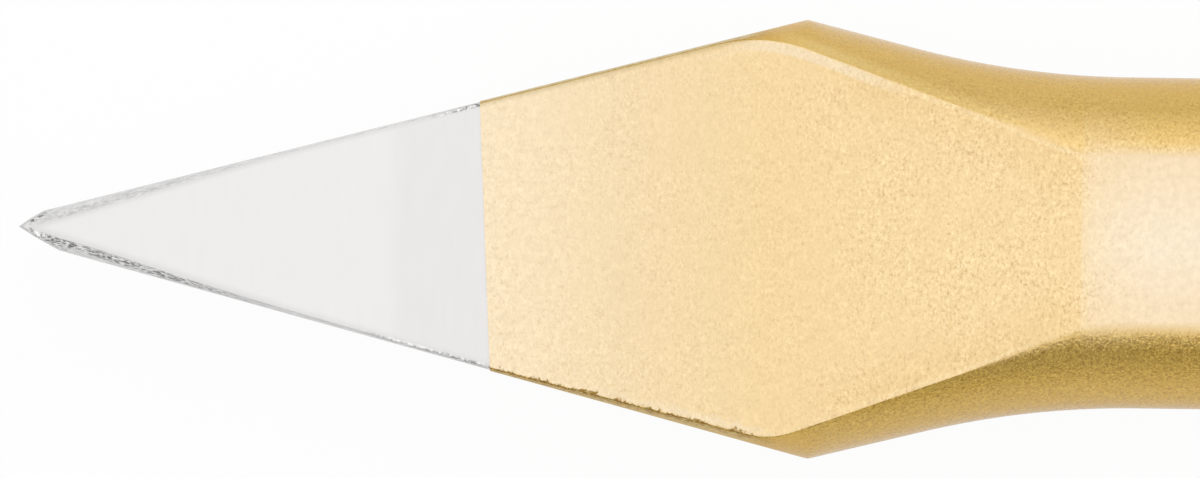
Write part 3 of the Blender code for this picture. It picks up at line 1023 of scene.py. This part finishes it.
def floor_paper():
    material, tree, shader, _ = new_finish("floor_paper")
    fill(tree, shader, {"Base Color": FLOOR_COLOUR, "Roughness": FLOOR_ROUGHNESS, "Specular IOR Level": 0.0})
    path = add(tree, "ShaderNodeLightPath", {}).outputs
    reflected = reckon(tree, "MAXIMUM", path["Is Glossy Ray"], path["Is Transmission Ray"])
    seen = times(tree, path["Is Camera Ray"], GLOW_TO_CAMERA)
    share = reckon(tree, "MAXIMUM", seen, times(tree, reflected, GLOW_IN_REFLECTIONS))
    glow = add(tree, "ShaderNodeEmission", {"Color": WHITE, "Strength": 1.0}).outputs["Emission"]
    paper = add(tree, "ShaderNodeMixShader", {0: share, 1: shader.outputs["BSDF"], 2: glow})
    fill(tree, tree.nodes["Material Output"], {"Surface": paper.outputs["Shader"]})
    return material


floor_mesh = bmesh.new()
bmesh.ops.create_grid(floor_mesh, x_segments=1, y_segments=1, size=FLOOR_HALF_SIZE)
bmesh.ops.translate(floor_mesh, verts=floor_mesh.verts, vec=(0.0, 0.0, cad_low.z - FLOOR_GAP))
floor_data = bpy.data.meshes.new("floor")
floor_mesh.to_mesh(floor_data)
floor_mesh.free()
floor = bpy.data.objects.new("floor", floor_data)
floor.data.materials.append(floor_paper())
bpy.context.scene.collection.objects.link(floor)
print("floor at z =", round((cad_low.z - FLOOR_GAP) / MM, 2), "mm")

# %% [markdown]
# ## The light
# The studio is a tent of soft light whose panels run along the tool, so its brightness depends on how far a
# direction leans from straight up towards the far side (+) or the near side (-). A gap between two panels on
# the near side draws a dark line along the lower flank. A small lamp straight above adds the sheen on what
# lies level, and a dark card stands low on the near side beyond the head. Towards both ends of the tool the
# panels fade into an even wall.

# %% Light the studio
PANELS = (
    (-90.0, 0.92),
    (-75.0, 0.88),
    (-65.0, 0.54),
    (-56.0, 0.03),
    (-44.0, 0.03),
    (-37.0, 0.86),
    (-29.0, 1.03),
    (0.0, 0.888),
    (10.0, 0.965),
    (18.0, 1.25),
    (34.0, 1.28),
    (45.0, 1.22),
    (63.0, 1.02),
    (75.0, 0.98),
    (90.0, 0.50),
)
BRIGHTEST_PANEL = 2.0
WALL_LEVEL = 0.80
WALL_FROM, WALL_FULL = 0.75, 0.95
LAMP_CORE, LAMP_RIM = math.radians(4.0), math.radians(14.0)
LAMP_LEVEL = 1.15
CARD_FROM, CARD_FULL = 0.10, 0.28
CARD_LEAN, CARD_REACH = math.radians(-72.0), math.radians(28.0)
CARD_SHADE = 0.6


def panel_level(tree, lean):
    """Looks up the panels' brightness on a ramp from the first panel's lean to the last one's."""
    first, last = PANELS[0][0], PANELS[-1][0]
    along = between(tree, lean, math.radians(first), math.radians(last), 0.0, 1.0)
    ramp = add(tree, "ShaderNodeValToRGB", {"Fac": along})
    stops = ramp.color_ramp.elements
    while len(stops) < len(PANELS):
        stops.new(1.0)
    for stop, (degrees, level) in zip(stops, PANELS):
        stop.position = (degrees - first) / (last - first)
        share = level / BRIGHTEST_PANEL
        stop.color = (share, share, share, 1.0)
    return times(tree, ramp.outputs["Color"], BRIGHTEST_PANEL)


world = bpy.data.worlds.new("studio")
world.use_nodes = True
bpy.context.scene.world = world
sky = world.node_tree
direction = axes(sky, add(sky, "ShaderNodeTexCoord", {}).outputs["Generated"])
lean = reckon(sky, "ARCTAN2", direction["Y"], direction["Z"])
endwards = reckon(sky, "ABSOLUTE", direction["X"])
to_wall = between(sky, endwards, WALL_FROM, WALL_FULL, 0.0, 1.0, smooth=True)
wall = times(sky, to_wall, WALL_LEVEL)
to_card = between(sky, direction["X"], CARD_FROM, CARD_FULL, 0.0, CARD_SHADE, smooth=True)
card = times(sky, to_card, near_line(sky, lean, CARD_LEAN, CARD_REACH))
tent = times(sky, panel_level(sky, lean), rest_of(sky, card), rest_of(sky, to_wall))
lamp = between(sky, direction["Z"], math.cos(LAMP_RIM), math.cos(LAMP_CORE), 0.0, LAMP_LEVEL, smooth=True)
brightness = reckon(sky, "ADD", reckon(sky, "ADD", wall, tent), lamp)
fill(sky, sky.nodes["Background"], {"Color": WHITE, "Strength": brightness})
bpy.context.scene.view_settings.view_transform = "Standard"
print("studio:", len(sky.nodes), "nodes")

# %% [markdown]
# ## The camera
# The picture is taken from straight above with a long lens, turned by less than a degree and leaning a little
# towards the near side, so that the lower flank shows more than the upper one. The tip's place in the picture
# and the scale fix where the camera hangs.

# %% Hang the camera
IMAGE_WIDTH, IMAGE_HEIGHT = 1200, 478
TIP_PIXEL = (22.0, 228.0)
PIXELS_PER_METRE = 16.55 / MM
TURN = math.radians(0.766)
LEAN = math.radians(0.2)
CAMERA_DISTANCE = 0.7

right = Vector((math.cos(TURN), math.sin(TURN), 0.0))
up = Vector((-math.sin(TURN), math.cos(TURN), 0.0))
over = Vector((0.0, 0.0, 1.0))
camera_up = up * math.cos(LEAN) + over * math.sin(LEAN)
back = over * math.cos(LEAN) - up * math.sin(LEAN)
to_right = (IMAGE_WIDTH / 2 - TIP_PIXEL[0]) / PIXELS_PER_METRE
to_top = (TIP_PIXEL[1] - IMAGE_HEIGHT / 2) / PIXELS_PER_METRE
aim = TIP + right * to_right + up * to_top

camera_data = bpy.data.cameras.new("camera")
camera_data.sensor_fit = "HORIZONTAL"
camera_data.lens = camera_data.sensor_width * CAMERA_DISTANCE * PIXELS_PER_METRE / IMAGE_WIDTH
camera = bpy.data.objects.new("camera", camera_data)
bpy.context.scene.collection.objects.link(camera)
turned = Matrix((right, camera_up, back)).transposed().to_4x4()
camera.matrix_world = Matrix.Translation(aim + back * CAMERA_DISTANCE) @ turned
bpy.context.scene.camera = camera
print("lens:", round(camera_data.lens), "mm, aimed at", [round(value / MM, 2) for value in aim], "mm")
